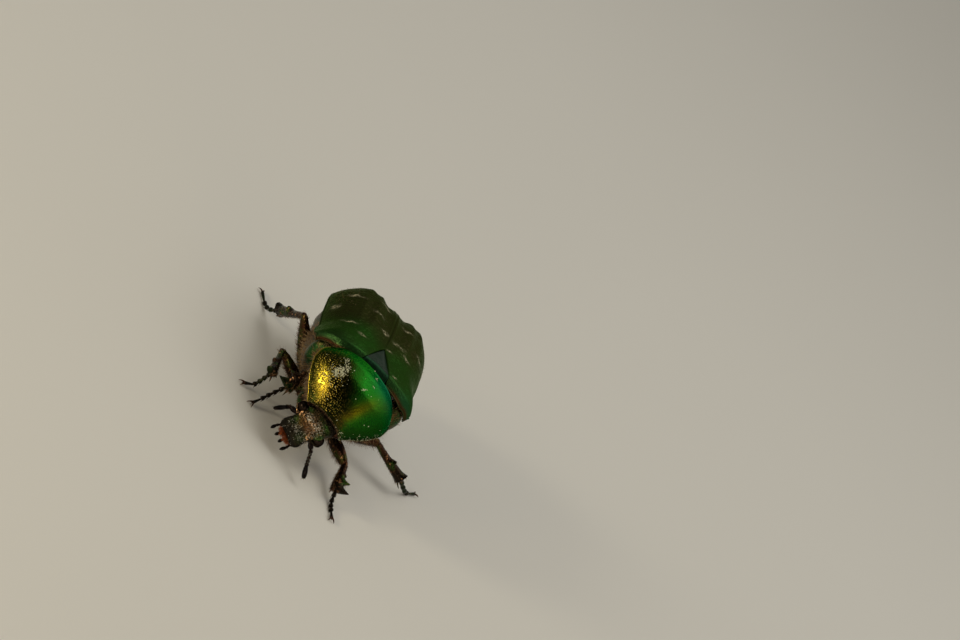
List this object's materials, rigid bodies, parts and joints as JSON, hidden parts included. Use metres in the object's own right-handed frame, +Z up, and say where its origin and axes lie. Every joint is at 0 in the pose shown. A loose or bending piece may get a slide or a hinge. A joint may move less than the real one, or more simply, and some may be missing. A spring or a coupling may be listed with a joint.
{
  "type": "rose chafer",
  "caption": "Life-size rose chafer beetle standing on its feet, with domed green wing cases and pronotum, bent head, clubbed antennae and spiny legs.",
  "frame": {"origin": "middle of the bounding box's base, on the floor that the six feet stand on", "axes": "+X to the beetle's left, +Y to its rear, +Z up; the head faces -Y"},
  "size_m": [0.0192, 0.0212, 0.0087],
  "materials": {
    "green_chitin": "polished metallic green with gold and blue-green sheen, finely pitted",
    "slate_chitin": "satin dark slate blue-green",
    "bronze_chitin": "dark bronze with green and copper glints, pitted and haired",
    "eye": "glossy near-black brown",
    "black_chitin": "satin black with reddish-brown stems",
    "orange_brush": "matt orange-brown brush of short hair"
  },
  "bodies": {
    "root": {"abdomen": "bronze_chitin", "antenna_left": "black_chitin", "antenna_right": "black_chitin", "elytron_left": "green_chitin", "elytron_right": "green_chitin", "eye_left": "eye", "eye_right": "eye", "fore_left_coxa": "bronze_chitin", "fore_left_femur": "bronze_chitin", "fore_left_tarsus": "bronze_chitin", "fore_left_tibia": "bronze_chitin", "fore_right_coxa": "bronze_chitin", "fore_right_femur": "bronze_chitin", "fore_right_tarsus": "bronze_chitin", "fore_right_tibia": "bronze_chitin", "head": "bronze_chitin", "hind_left_coxa": "bronze_chitin", "hind_left_femur": "bronze_chitin", "hind_left_tarsus": "bronze_chitin", "hind_left_tibia": "bronze_chitin", "hind_right_coxa": "bronze_chitin", "hind_right_femur": "bronze_chitin", "hind_right_tarsus": "bronze_chitin", "hind_right_tibia": "bronze_chitin", "labial_palp_left": "black_chitin", "labial_palp_right": "black_chitin", "maxillary_palp_left": "black_chitin", "maxillary_palp_right": "black_chitin", "mesepimeron_left": "green_chitin", "mesepimeron_right": "green_chitin", "middle_left_coxa": "bronze_chitin", "middle_left_femur": "bronze_chitin", "middle_left_tarsus": "bronze_chitin", "middle_left_tibia": "bronze_chitin", "middle_right_coxa": "bronze_chitin", "middle_right_femur": "bronze_chitin", "middle_right_tarsus": "bronze_chitin", "middle_right_tibia": "bronze_chitin", "mouthparts": "orange_brush", "pronotum": "green_chitin", "prosternum": "bronze_chitin", "pygidium": "bronze_chitin", "scutellum": "slate_chitin", "thorax": "bronze_chitin"}
  },
  "joints": []
}
